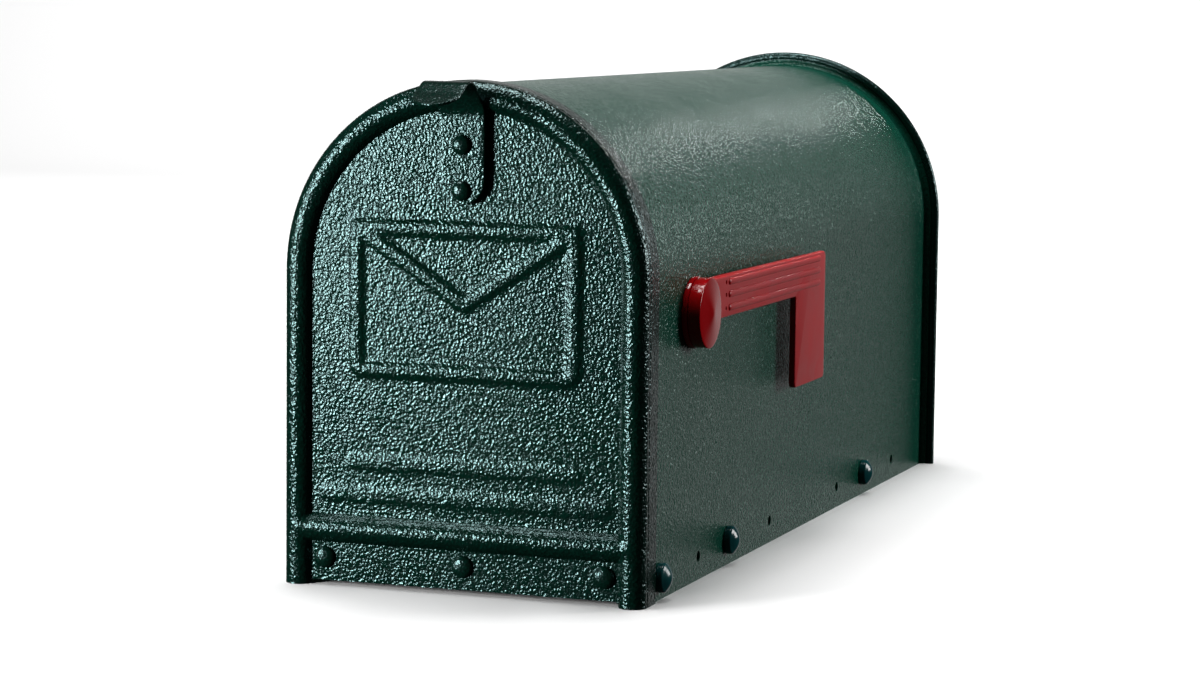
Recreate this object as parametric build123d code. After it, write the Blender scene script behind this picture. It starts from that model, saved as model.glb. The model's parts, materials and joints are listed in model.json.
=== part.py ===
"""Rural post-mount mailbox: arched sheet-steel body, drop-down front door and a carrier flag.

Millimetres. +Z is up, +Y runs from the door to the rear wall, +X is the flag side.
The origin is the centre of the floor pan's underside, where a mounting board bears.
"""

from build123d import *
from math import cos, radians, sin
import os

# ---------------------------------------------------------------- driving dimensions
# body
BODY_WIDTH = 161.0          # outside the side walls
BODY_HEIGHT = 215.2         # bottom edge of the sides to the top of the roof
BODY_LENGTH = 459.2         # front edge of the sheet to the back face of its rear flange
SHEET = 0.7                 # body, door, floor and rear wall sheet
FRONT_HEM = 7.5             # depth of the doubled edge round the front opening
FLARE_RADIUS = 3.0          # concave bend of the rear flange

# rear wall
RIM_REACH = 7.15            # how far the curled rim stands out from the side wall
RIM_RADIUS = 2.2            # half the thickness of the curl
HEM_LEG = 1.9               # leg of the curl that returns over the flange
REAR_FIELD_INSET = 15.0     # body wall to the edge of the raised field
REAR_FIELD_FLOOR_GAP = 12.0

# floor pan
FLOOR_RISE = 22.0           # bottom edge of the sides to the underside of the floor
FLOOR_SHEET = 0.8
FLOOR_FRONT_SETBACK = 1.2
FLOOR_REAR_GAP = 0.1
FLANGE_DROP = 20.6          # height of the pan's side flanges
FLANGE_FRONT_SETBACK = 37.0
FLANGE_REAR_SETBACK = 8.0
RIB_SPACING = 72.0          # between the two stiffening ribs
RIB_LENGTH = 350.0
RIB_WIDTH = 12.0
RIB_RISE = 2.0

# door
DOOR_CLEARANCE = 0.7        # door flange to body side wall
DOOR_ROOF_LIFT = 0.3        # extra clearance over the roof
DOOR_TO_BODY = 3.3          # back of the door panel to the body's front edge
FLANGE_DEPTH = 17.5         # bead crest to the rear edge of the door flange
BEAD_RADIUS = 6.0           # half-round roll round the arch and across the door
BEAD_HEIGHT = 4.6           # crest to panel
CROSS_BEAD_HEIGHT = 24.6    # centre of the cross bead above the body's bottom edge
STRIP_BOTTOM = 2.0          # lower edge of the strip above the body's bottom edge

# emblem on the door
EMBLEM_RISE = 1.1
EMBLEM_LINE = 4.2
EMBLEM_WIDTH = 104.0
EMBLEM_HEIGHT = 66.0
EMBLEM_CENTRE = 124.0
EMBLEM_FLAP = 34.0
BAR_LENGTHS = (106.0, 132.0)
BAR_CENTRES = (54.0, 40.0)
BAR_WIDTH = 6.0

# door hinge
HEAD_TO_FLANGE = 2.2        # pin head to the rear edge of the door's flange
HINGE_HEIGHT = 9.7          # pin axis above the body's bottom edge
PIN_RADIUS = 2.5
RUNNING_CLEARANCE = 0.05
HINGE_WASHER_THICKNESS = 0.8
HINGE_WASHER_RADIUS = 6.0
EAR_THICKNESS = 1.5
EAR_RADIUS = 6.5
RETAINER_THICKNESS = 1.2
RETAINER_RADIUS = 5.0
BAR_SHEET = 1.2
BAR_BOTTOM = 3.2
BAR_TOP = 17.4
BAR_LIP = 6.0
DOOR_OPEN_ANGLE = 100.0
STOP_ANGLE_AT_REST = -40.0
STOP_CLEARANCE = 0.35

# plastic-headed pins and rivets
HEAD_RADIUS = 6.4
HEAD_RIM = 3.2
HEAD_DOME = 2.6
RIVET_RADIUS = 2.4
RIVET_TAIL_RADIUS = 4.2
RIVET_TAIL_THICKNESS = 1.6
RIVET_HEIGHT = 11.3
RIVET_PITCH = 226.2
RIVET_CENTRE = 233.2        # bead crest to the middle of a side's two rivets

# mounting holes through each side
MOUNT_HOLE_RADIUS = 2.4
MOUNT_HOLE_HEIGHT = 10.3
MOUNT_HOLE_CENTRE = 241.5   # bead crest to the middle of the pattern
MOUNT_PITCH_OUTER = 325.7
MOUNT_PITCH_INNER = 114.3

# latch
STRAP_WIDTH = 20.6
STRAP_SHEET = 1.4
STRAP_DEPTH = 4.0           # face to the door panel, with turned-back edges
STRAP_BOTTOM_DROP = 51.7    # all strap heights are taken down from the top of the door
STRAP_RIVET_DROPS = (26.8, 45.9)
KNEE_DROP = 17.0            # where the strap leaves the panel and leans forward
CREST_REACH = 14.6          # forward of the bead's crest
CREST_DROP = 0.0
TAB_DROP = 7.6
TAB_START = 25.5
TAB_REACH = 36.5
KNEE_RADIUS = 9.0
CREST_RADIUS = 4.5
TAB_RADIUS = 12.0
DOME_RADIUS = 4.2
DOME_HEIGHT = 2.6
SMALL_RIVET_RADIUS = 1.6
SMALL_TAIL_RADIUS = 3.2
SMALL_TAIL_THICKNESS = 1.2
STRIP_RIVET_RADIUS = 4.8
STRIP_RIVET_SPACING = 63.6
STRIP_RIVET_HEIGHT = 12.0
HOOK_SHEET = 1.2
HOOK_WIDTH = 18.0
HOOK_REACH = 22.0
HOOK_DROP = 14.5            # top of the door to the underside of the hook's arm
HOOK_FOOT_DROP = 50.0
HOOK_NOSE = 2.4
HOOK_NOSE_LENGTH = 4.0
CATCH_SHEET = 0.8
CATCH_SPAN = 24.0
CATCH_LENGTH = 26.0
CATCH_SETBACK = 9.5         # body front edge to the catch
CATCH_BEAD_WIDTH = 14.0
CATCH_GAP = 0.4             # hook nose passes under the catch's bead

# flag
HUB_SETBACK = 66.0          # bead crest to the pivot
HUB_RADIUS = 15.25
FLAT_ABOVE_HUB = 1.45       # flat wall left between the hub and the arch
COLLAR_THICKNESS = 2.4
COLLAR_EXTRA = 0.3
HUB_THICKNESS = 5.5
CAP_THICKNESS = 1.8
CAP_TAPER = 0.7
ARM_TOP = 14.3              # above the pivot
ARM_BOTTOM = -3.7
ARM_LENGTH = 179.0
ARM_THICKNESS = 3.0
WING_LENGTH = 50.0
WING_BOTTOM = -46.5
FLAG_CORNER = 2.5
FLAG_RIB_HEIGHTS = (11.5, 6.0, 0.2)
FLAG_RIB_START = 24.0
FLAG_RIB_END = 169.5
FLAG_RIB_WIDTH = 2.2
FLAG_RIB_RISE = 0.8
FLAG_DIMPLE = 2.0
BOLT_RADIUS = 3.0
BOLT_HEAD_RADIUS = 5.6
BOLT_HEAD_THICKNESS = 2.2
SPRING_THICKNESS = 0.6
SPRING_RADIUS = 6.6
BACKING_RADIUS = 14.0
BACKING_THICKNESS = 1.5
NUT_ACROSS_FLATS = 10.0
NUT_THICKNESS = 4.5
THREAD_TAIL = 1.4
STOP_POST_RADIUS = 1.4
STOP_POST_REACH = 1.3
STOP_TRACK_RADIUS = 10.5
STOP_TRACK_CLEARANCE = 0.35
FLAG_SWING = 90.0

FIT_GAP = 0.1               # between nested sheets

# ---------------------------------------------------------------- places worked out
# Lengthwise places run from the crest of the door's bead, heights from the body's bottom edge.
BODY_HALF = BODY_WIDTH / 2
SPRING_LINE = BODY_HEIGHT - BODY_HALF           # where the straight sides meet the arch
DOOR_HALF = BODY_HALF + DOOR_CLEARANCE + SHEET
DOOR_SPRING = SPRING_LINE + DOOR_ROOF_LIFT
DOOR_TOP = DOOR_SPRING + DOOR_HALF
BEAD_LINE = DOOR_HALF - BEAD_RADIUS             # centre of the side beads
PANEL_FRONT = BEAD_HEIGHT
PANEL_BACK = PANEL_FRONT + SHEET
BODY_FRONT = PANEL_BACK + DOOR_TO_BODY
BODY_REAR = BODY_FRONT + BODY_LENGTH
BEND_START = BODY_REAR - SHEET - FLARE_RADIUS
RIM_LINE = BODY_HALF + RIM_REACH - RIM_RADIUS   # centre of the rear rim's curl
MID_DEPTH = (BODY_FRONT + BODY_REAR) / 2
WALL_INSIDE = BODY_HALF - SHEET
HINGE_SETBACK = FLANGE_DEPTH + HEAD_TO_FLANGE + HEAD_RADIUS
HUB_HEIGHT = SPRING_LINE - FLAT_ABOVE_HUB - HUB_RADIUS
FLOOR_TOP = FLOOR_RISE + FLOOR_SHEET
PAN_HALF = WALL_INSIDE - FIT_GAP
EAR_OUTSIDE = WALL_INSIDE - HINGE_WASHER_THICKNESS - 2 * FIT_GAP
EAR_INSIDE = EAR_OUTSIDE - EAR_THICKNESS
RETAINER_INSIDE = EAR_INSIDE - FIT_GAP - RETAINER_THICKNESS
STRAP_FACE = PANEL_FRONT - STRAP_DEPTH
STRAP_MIDDLE = STRAP_FACE + STRAP_SHEET / 2
HUB_BACK = BODY_HALF + COLLAR_THICKNESS + FIT_GAP
HUB_FACE = HUB_BACK + HUB_THICKNESS
BOLT_HEAD_UNDERSIDE = HUB_FACE - FIT_GAP - BOLT_HEAD_THICKNESS
SPRING_SEAT = BOLT_HEAD_UNDERSIDE - SPRING_THICKNESS - RUNNING_CLEARANCE
BACKING_INSIDE = WALL_INSIDE - BACKING_THICKNESS
NUT_INSIDE = BACKING_INSIDE - NUT_THICKNESS
RIVET_PLACES = [RIVET_CENTRE - RIVET_PITCH / 2, RIVET_CENTRE + RIVET_PITCH / 2]
MOUNT_PLACES = [MOUNT_HOLE_CENTRE + side * pitch / 2
                for pitch in (MOUNT_PITCH_OUTER, MOUNT_PITCH_INNER) for side in (-1, 1)]
STRIP_RIVET_PLACES = [-STRIP_RIVET_SPACING, 0.0, STRIP_RIVET_SPACING]


# ---------------------------------------------------------------- shapes used again
def arch_block(half, spring, bottom, front, rear):
    """A solid with straight sides up to the spring line and a half-round top."""
    depth, middle = rear - front, (front + rear) / 2
    legs = Pos(0, middle, (bottom + spring) / 2) * Box(2 * half, depth, spring - bottom)
    return legs + Pos(0, middle, spring) * Rot(90, 0, 0) * Cylinder(half, depth)


def around_arch(section, spring, bottom):
    """Carry a section, drawn in X and Y on the +X side, up one side, over the arch and down."""
    face = Pos(0, 0, spring) * section
    crown = revolve(face, Axis((0, 0, spring), (0, -1, 0)), 180)
    leg = extrude(face, spring - bottom, dir=(0, 0, -1))
    return crown + leg + mirror(leg, Plane.YZ)


def strip(x_low, x_high, y_low, y_high):
    """A rectangle of a section, given by its limits."""
    centre = Pos((x_low + x_high) / 2, (y_low + y_high) / 2)
    return centre * Rectangle(x_high - x_low, y_high - y_low)


def block(x_low, x_high, y_low, y_high, z_low, z_high):
    """A box given by its limits."""
    centre = Pos((x_low + x_high) / 2, (y_low + y_high) / 2, (z_low + z_high) / 2)
    return centre * Box(x_high - x_low, y_high - y_low, z_high - z_low)


def side_plane(x, y=0.0, z=0.0):
    """A sketch plane facing +X, with Y across and Z up."""
    return Plane(origin=(x, y, z), x_dir=(0, 1, 0), z_dir=(1, 0, 0))


def front_plane(y, z=0.0):
    """A sketch plane facing the front, with X across and Z up."""
    return Plane(origin=(0, y, z), x_dir=(1, 0, 0), z_dir=(0, -1, 0))


def rod_x(radius, x_low, x_high, y, z):
    """A cylinder along X."""
    return extrude(side_plane(x_low, y, z) * Circle(radius), x_high - x_low)


def rod_y(radius, x, y_low, y_high, z):
    """A cylinder along Y."""
    return extrude(front_plane(y_high) * Pos(x, z) * Circle(radius), y_high - y_low)


def ring_x(inner, outer, x_low, x_high, y, z):
    """A washer across X."""
    return rod_x(outer, x_low, x_high, y, z) - rod_x(inner, x_low, x_high, y, z)


def dome(radius, height):
    """A spherical cap standing on Z = 0."""
    ball = (radius ** 2 + height ** 2) / (2 * height)
    cap = Pos(0, 0, height - ball) * Sphere(ball)
    return cap & Pos(0, 0, height / 2) * Box(2 * radius, 2 * radius, height)


def other_side(part):
    """The same piece on the -X side."""
    return mirror(part, Plane.YZ)


# ---------------------------------------------------------------- body
def body_section():
    """Wall, concave bend and outward flange of the body sheet, in one section."""
    bend = Circle(FLARE_RADIUS + SHEET) - Circle(FLARE_RADIUS)
    reach = FLARE_RADIUS + SHEET
    bend = bend & strip(-reach, 0, 0, reach)
    wall = strip(WALL_INSIDE, BODY_HALF, BODY_FRONT, BEND_START)
    flange = strip(BODY_HALF + FLARE_RADIUS, RIM_LINE, BODY_REAR - SHEET, BODY_REAR)
    return wall + Pos(BODY_HALF + FLARE_RADIUS, BEND_START) * bend + flange


def body_shell():
    hem = strip(WALL_INSIDE - SHEET, WALL_INSIDE, BODY_FRONT, BODY_FRONT + FRONT_HEM)
    shell = around_arch(body_section(), SPRING_LINE, 0)
    shell += around_arch(hem, SPRING_LINE, FLOOR_TOP + FIT_GAP)
    shell -= corner_relief()
    bolt_hole = rod_x(BOLT_RADIUS + RUNNING_CLEARANCE, 0, BODY_WIDTH, HUB_SETBACK, HUB_HEIGHT)
    pin_hole = through_sides(PIN_RADIUS + RUNNING_CLEARANCE, HINGE_SETBACK, HINGE_HEIGHT)
    return shell - [bolt_hole, pin_hole] - side_holes()


def through_sides(radius, y, z):
    """A bore through both side walls."""
    return rod_x(radius, -BODY_WIDTH, BODY_WIDTH, y, z)


def side_holes():
    """Holes that pass through side wall and floor flange: for the rivets and for mounting."""
    rivets = [through_sides(RIVET_RADIUS + RUNNING_CLEARANCE, y, RIVET_HEIGHT) for y in RIVET_PLACES]
    return rivets + [through_sides(MOUNT_HOLE_RADIUS, y, MOUNT_HOLE_HEIGHT) for y in MOUNT_PLACES]


def corner_relief():
    """Rounds the lower front corners about the hinge, where the door's foot swings past."""
    corner = block(-BODY_WIDTH, BODY_WIDTH, 0, HINGE_SETBACK, -FLOOR_RISE, HINGE_HEIGHT)
    swing = HINGE_SETBACK - BODY_FRONT
    return corner - rod_x(swing, -BODY_WIDTH, BODY_WIDTH, HINGE_SETBACK, HINGE_HEIGHT)


def rear_panel():
    """Rear wall with a raised field, its edge curled round the body's flange."""
    leg_back = BODY_REAR - SHEET
    curl = Pos(RIM_LINE, BODY_REAR) * Circle(RIM_RADIUS)
    curl += strip(RIM_LINE - HEM_LEG, RIM_LINE, leg_back - FIT_GAP - SHEET, leg_back)
    curl += strip(RIM_LINE - HEM_LEG, RIM_LINE, BODY_REAR, BODY_REAR + SHEET)
    curl -= strip(0, RIM_LINE + FIT_GAP, leg_back - FIT_GAP, BODY_REAR)
    panel = around_arch(curl, SPRING_LINE, 0)
    panel += arch_block(RIM_LINE - RIM_RADIUS / 2, SPRING_LINE, 0, BODY_REAR, BODY_REAR + SHEET)
    field_half = BODY_HALF - REAR_FIELD_INSET
    rise = RIM_RADIUS - SHEET
    panel += arch_block(field_half, SPRING_LINE, REAR_FIELD_FLOOR_GAP, BODY_REAR, BODY_REAR + RIM_RADIUS)
    inside_bottom = REAR_FIELD_FLOOR_GAP + SHEET
    return panel - arch_block(field_half - SHEET, SPRING_LINE, inside_bottom, BODY_REAR, BODY_REAR + rise)


def floor_pan():
    """Raised floor with two stiffening ribs and a flange down each side."""
    front, rear = BODY_FRONT + FLOOR_FRONT_SETBACK, BODY_REAR - FLOOR_REAR_GAP
    pan = block(-PAN_HALF, PAN_HALF, front, rear, FLOOR_RISE, FLOOR_TOP)
    for x in (-RIB_SPACING / 2, RIB_SPACING / 2):
        seat = Plane(origin=(x, MID_DEPTH, FLOOR_RISE), x_dir=(0, 1, 0), z_dir=(0, 0, 1))
        pan += extrude(seat * SlotOverall(RIB_LENGTH, RIB_WIDTH), FLOOR_SHEET + RIB_RISE)
        hollow = SlotOverall(RIB_LENGTH - 2 * FLOOR_SHEET, RIB_WIDTH - 2 * FLOOR_SHEET)
        pan -= extrude(seat * hollow, RIB_RISE)
    flange = block(PAN_HALF - SHEET, PAN_HALF, BODY_FRONT + FLANGE_FRONT_SETBACK,
                   BODY_REAR - FLANGE_REAR_SETBACK, FLOOR_RISE - FLANGE_DROP, FLOOR_TOP)
    return pan + flange + other_side(flange) - side_holes()


def headed_pin(shank_radius, shank_inside, y, z):
    """A domed plastic head on the wall and a shank that runs in from it."""
    head = rod_x(HEAD_RADIUS, BODY_HALF, BODY_HALF + HEAD_RIM, y, z)
    head += side_plane(BODY_HALF + HEAD_RIM, y, z).location * dome(HEAD_RADIUS, HEAD_DOME)
    return head + rod_x(shank_radius, shank_inside, BODY_HALF, y, z)


def floor_rivet(y):
    seat = PAN_HALF - SHEET
    tail = rod_x(RIVET_TAIL_RADIUS, seat - RIVET_TAIL_THICKNESS, seat, y, RIVET_HEIGHT)
    return headed_pin(RIVET_RADIUS, seat, y, RIVET_HEIGHT) + tail


# ---------------------------------------------------------------- door
def door_skin(inset):
    """The door's outer form, or with an inset of one sheet, the hollow behind it."""
    bottom = -2 * inset
    rear = FLANGE_DEPTH + 2 * inset
    panel = arch_block(BEAD_LINE, DOOR_SPRING, bottom, PANEL_FRONT + inset, rear)
    flange = arch_block(DOOR_HALF - inset, DOOR_SPRING, bottom, BEAD_RADIUS, rear)
    roll = Pos(BEAD_LINE, BEAD_RADIUS) * Circle(BEAD_RADIUS - inset)
    roll = around_arch(roll, DOOR_SPRING, bottom)
    cross = rod_x(BEAD_RADIUS - inset, -BEAD_LINE, BEAD_LINE, BEAD_RADIUS, CROSS_BEAD_HEIGHT)
    return panel + flange + roll + cross


def door_panel():
    door = door_skin(0) - door_skin(SHEET)
    between_beads = BEAD_LINE - BEAD_RADIUS
    door -= block(-between_beads, between_beads, 0, FLANGE_DEPTH, -BEAD_RADIUS, STRIP_BOTTOM)
    for drop in STRAP_RIVET_DROPS:
        door -= rod_y(SMALL_RIVET_RADIUS + RUNNING_CLEARANCE, 0, 0, FLANGE_DEPTH, DOOR_TOP - drop)
    for x in STRIP_RIVET_PLACES:
        door -= rod_y(SMALL_RIVET_RADIUS + RUNNING_CLEARANCE, x, 0, FLANGE_DEPTH, STRIP_RIVET_HEIGHT)
    return door + extrude(front_plane(PANEL_FRONT) * emblem(), EMBLEM_RISE)


def emblem():
    """A plain envelope above two bars."""
    half, tall = EMBLEM_WIDTH / 2, EMBLEM_HEIGHT / 2
    frame = Rectangle(EMBLEM_WIDTH, EMBLEM_HEIGHT)
    frame -= Rectangle(EMBLEM_WIDTH - 2 * EMBLEM_LINE, EMBLEM_HEIGHT - 2 * EMBLEM_LINE)
    point = tall - EMBLEM_FLAP
    chevron = Polyline((-half, tall), (0, point), (half, tall), (half, tall - EMBLEM_LINE),
                       (0, point - EMBLEM_LINE), (-half, tall - EMBLEM_LINE), close=True)
    frame += make_face(chevron)
    bars = [Pos(0, height) * SlotOverall(length, BAR_WIDTH)
            for length, height in zip(BAR_LENGTHS, BAR_CENTRES)]
    return Pos(0, EMBLEM_CENTRE) * frame + bars[0] + bars[1]


def hinge_ear():
    """Side of the hinge bar: from the strip back to the pin, with a tail that meets the floor."""
    eye = Pos(HINGE_SETBACK, HINGE_HEIGHT) * Circle(EAR_RADIUS)
    foot = strip(PANEL_BACK, PANEL_BACK + BAR_SHEET, BAR_BOTTOM, BAR_TOP)
    ear = make_hull(eye.edges() + foot.edges())
    tip = BAR_SHEET * 2
    rise = FLOOR_RISE - HINGE_HEIGHT - STOP_CLEARANCE - tip
    reach = rise / sin(radians(STOP_ANGLE_AT_REST + DOOR_OPEN_ANGLE))
    angle = radians(STOP_ANGLE_AT_REST)
    end = Pos(HINGE_SETBACK + reach * cos(angle), HINGE_HEIGHT + reach * sin(angle)) * Circle(tip)
    ear += make_hull(end.edges() + (Pos(HINGE_SETBACK, HINGE_HEIGHT) * Circle(tip)).edges())
    return extrude(side_plane(EAR_INSIDE) * ear, EAR_THICKNESS)


def hinge_bar():
    """Channel behind the door's lower strip, with an ear at each end."""
    web_back = PANEL_BACK + BAR_SHEET
    bar = block(-EAR_OUTSIDE, EAR_OUTSIDE, PANEL_BACK, web_back, BAR_BOTTOM, BAR_TOP)
    for low in (BAR_BOTTOM, BAR_TOP - BAR_SHEET):
        bar += block(-EAR_OUTSIDE, EAR_OUTSIDE, PANEL_BACK, PANEL_BACK + BAR_LIP, low, low + BAR_SHEET)
    bar += hinge_ear() + other_side(hinge_ear())
    bar -= through_sides(PIN_RADIUS + RUNNING_CLEARANCE, HINGE_SETBACK, HINGE_HEIGHT)
    for x in STRIP_RIVET_PLACES:
        bar -= rod_y(SMALL_RIVET_RADIUS + RUNNING_CLEARANCE, x, 0, FLANGE_DEPTH, STRIP_RIVET_HEIGHT)
    return bar


def small_rivet(x, z, face, tail, head_radius):
    """A domed rivet set from the front: head on one face, tail behind the last sheet."""
    rivet = Pos(x, face, z) * Rot(90, 0, 0) * dome(head_radius, DOME_HEIGHT)
    rivet += rod_y(SMALL_RIVET_RADIUS, x, face, tail, z)
    return rivet + rod_y(SMALL_TAIL_RADIUS, x, tail, tail + SMALL_TAIL_THICKNESS, z)


def strap_outline(inset):
    """Front view of the strap's riveted part: round at the foot, straight above."""
    radius = STRAP_WIDTH / 2 - inset
    foot = DOOR_TOP - STRAP_BOTTOM_DROP + STRAP_WIDTH / 2
    top = DOOR_TOP - KNEE_DROP - KNEE_RADIUS / 2
    return Pos(0, foot) * Circle(radius) + strip(-radius, radius, foot, top)


def latch_strap():
    """Dished strap on the door, leaning forward over the bead into a pull tab."""
    tray = extrude(front_plane(PANEL_FRONT) * strap_outline(0), STRAP_DEPTH)
    tray -= extrude(front_plane(PANEL_FRONT) * strap_outline(STRAP_SHEET), STRAP_DEPTH - STRAP_SHEET)
    knee, foot = DOOR_TOP - KNEE_DROP, DOOR_TOP - STRAP_BOTTOM_DROP + STRAP_WIDTH
    tab_height = DOOR_TOP - TAB_DROP
    path = FilletPolyline(
        (STRAP_MIDDLE, foot), (STRAP_MIDDLE, knee), (-CREST_REACH, DOOR_TOP - CREST_DROP),
        (-TAB_START, tab_height), (-TAB_REACH, tab_height), radius=[KNEE_RADIUS, CREST_RADIUS, TAB_RADIUS])
    ribbon = extrude(side_plane(-STRAP_WIDTH / 2) * trace(path, STRAP_SHEET), STRAP_WIDTH)
    round_end = TAB_REACH - STRAP_WIDTH / 2
    plan = Pos(0, -round_end) * Circle(STRAP_WIDTH / 2)
    plan += strip(-STRAP_WIDTH / 2, STRAP_WIDTH / 2, -round_end, PANEL_FRONT)
    strap = tray + (ribbon & extrude(plan, DOOR_TOP + STRAP_WIDTH))
    for drop in STRAP_RIVET_DROPS:
        strap -= rod_y(SMALL_RIVET_RADIUS + RUNNING_CLEARANCE, 0, -BEAD_RADIUS, FLANGE_DEPTH, DOOR_TOP - drop)
    return strap


def latch_hook():
    """Angle plate behind the door with an upturned nose at its end."""
    half = HOOK_WIDTH / 2
    back = PANEL_BACK + HOOK_SHEET
    under = DOOR_TOP - HOOK_DROP
    end = PANEL_BACK + HOOK_REACH
    hook = block(-half, half, PANEL_BACK, back, DOOR_TOP - HOOK_FOOT_DROP, under + HOOK_SHEET)
    hook += block(-half, half, PANEL_BACK, end, under, under + HOOK_SHEET)
    hook += block(-half, half, end - HOOK_NOSE_LENGTH, end, under, under + HOOK_SHEET + HOOK_NOSE)
    for drop in STRAP_RIVET_DROPS:
        hook -= rod_y(SMALL_RIVET_RADIUS + RUNNING_CLEARANCE, 0, 0, FLANGE_DEPTH, DOOR_TOP - drop)
    return hook


def catch_plate():
    """Curved plate under the roof with a bead across it that the hook's nose passes."""
    outer = WALL_INSIDE - FIT_GAP / 2
    front = BODY_FRONT + CATCH_SETBACK
    rear = front + CATCH_LENGTH
    plate = arch_block(outer, SPRING_LINE, 0, front, rear)
    plate -= arch_block(outer - CATCH_SHEET, SPRING_LINE, 0, front - SHEET, rear + SHEET)
    span = block(-CATCH_SPAN / 2, CATCH_SPAN / 2, front, rear, SPRING_LINE + outer / 2, BODY_HEIGHT)
    nose_top = DOOR_TOP - HOOK_DROP + HOOK_SHEET + HOOK_NOSE
    bead = block(-CATCH_BEAD_WIDTH / 2, CATCH_BEAD_WIDTH / 2, front, front + HOOK_NOSE_LENGTH,
                 nose_top + CATCH_GAP, BODY_HEIGHT - SHEET - CATCH_SHEET)
    return (plate & span) + bead


# ---------------------------------------------------------------- flag
def flag_outline():
    """Arm and wing, drawn about the pivot, with small corner rounds."""
    wing_start = ARM_LENGTH - WING_LENGTH
    points = [(0, ARM_TOP), (ARM_LENGTH, ARM_TOP), (ARM_LENGTH, WING_BOTTOM),
              (wing_start, WING_BOTTOM), (wing_start, ARM_BOTTOM), (0, ARM_BOTTOM)]
    blade = make_face(Polyline(*points, close=True))
    return fillet(blade.vertices(), FLAG_CORNER) + Circle(HUB_RADIUS)


def flag_arm():
    """Hub, arm and wing moulded in one, with three ribs along the arm."""
    pivot = (HUB_SETBACK, HUB_HEIGHT)
    flag = extrude(side_plane(HUB_FACE - ARM_THICKNESS, *pivot) * flag_outline(), ARM_THICKNESS)
    flag += rod_x(HUB_RADIUS, HUB_BACK, HUB_FACE, *pivot)
    wedge_end = HUB_SETBACK + ARM_LENGTH - WING_LENGTH
    wedge = make_face(Polyline(
        (HUB_BACK, HUB_SETBACK), (HUB_FACE - SHEET, HUB_SETBACK),
        (HUB_FACE - SHEET, wedge_end), (HUB_FACE - ARM_THICKNESS, wedge_end), close=True))
    flag += extrude(Pos(0, 0, HUB_HEIGHT + ARM_BOTTOM) * wedge, ARM_TOP - ARM_BOTTOM)
    face = side_plane(HUB_FACE, *pivot)
    rib = SlotOverall(FLAG_RIB_END - FLAG_RIB_START, FLAG_RIB_WIDTH)
    dimple = Circle(FLAG_DIMPLE / 2)
    for height in FLAG_RIB_HEIGHTS:
        flag += extrude(face * Pos((FLAG_RIB_START + FLAG_RIB_END) / 2, height) * rib, FLAG_RIB_RISE)
        flag -= extrude(face * Pos(FLAG_RIB_START - FLAG_DIMPLE, height) * dimple, -FLAG_RIB_RISE)
    flag -= rod_x(SPRING_RADIUS + BOLT_RADIUS, SPRING_SEAT, HUB_FACE, *pivot)
    flag -= rod_x(BOLT_RADIUS + RUNNING_CLEARANCE, 0, BODY_WIDTH, *pivot)
    post = (HUB_SETBACK - STOP_TRACK_RADIUS, HUB_HEIGHT)
    return flag + rod_x(STOP_POST_RADIUS, HUB_BACK - STOP_POST_REACH, HUB_BACK, *post)


def flag_base():
    """Collar between wall and hub, with a curved track that stops the hub's post."""
    collar_face = BODY_HALF + COLLAR_THICKNESS
    collar = rod_x(HUB_RADIUS + COLLAR_EXTRA, BODY_HALF, collar_face, HUB_SETBACK, HUB_HEIGHT)
    width = 2 * (STOP_POST_RADIUS + STOP_TRACK_CLEARANCE)
    track = SlotArc(CenterArc((0, 0), STOP_TRACK_RADIUS, 180, FLAG_SWING), width)
    face = side_plane(collar_face, HUB_SETBACK, HUB_HEIGHT)
    collar -= extrude(face * track, -STOP_POST_REACH)
    return collar - rod_x(BOLT_RADIUS + RUNNING_CLEARANCE, 0, BODY_WIDTH, HUB_SETBACK, HUB_HEIGHT)


def flag_hub_cap():
    """Shallow cone over the hub with a spigot in its recess."""
    rim = HUB_RADIUS - CAP_TAPER
    half = CAP_THICKNESS / 2
    cap = Pos(0, 0, half / 2) * Cone(HUB_RADIUS, rim, half)
    cap += Pos(0, 0, half + half / 2) * Cone(rim, BOLT_RADIUS, half)
    spigot = SPRING_RADIUS + BOLT_RADIUS - FIT_GAP
    ring = Pos(0, 0, -half / 2) * (Cylinder(spigot, half) - Cylinder(spigot - 2 * SHEET, half))
    return side_plane(HUB_FACE, HUB_SETBACK, HUB_HEIGHT).location * (cap + ring)


def flag_pivot_bolt():
    pivot = (HUB_SETBACK, HUB_HEIGHT)
    head = rod_x(BOLT_HEAD_RADIUS, BOLT_HEAD_UNDERSIDE, BOLT_HEAD_UNDERSIDE + BOLT_HEAD_THICKNESS, *pivot)
    return head + rod_x(BOLT_RADIUS, NUT_INSIDE - THREAD_TAIL, BOLT_HEAD_UNDERSIDE, *pivot)


def flag_lock_nut():
    seat = side_plane(NUT_INSIDE, HUB_SETBACK, HUB_HEIGHT)
    nut = extrude(seat * RegularPolygon(NUT_ACROSS_FLATS / 2, 6, major_radius=False), NUT_THICKNESS)
    return nut - rod_x(BOLT_RADIUS + RUNNING_CLEARANCE, 0, BODY_WIDTH, HUB_SETBACK, HUB_HEIGHT)


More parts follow.
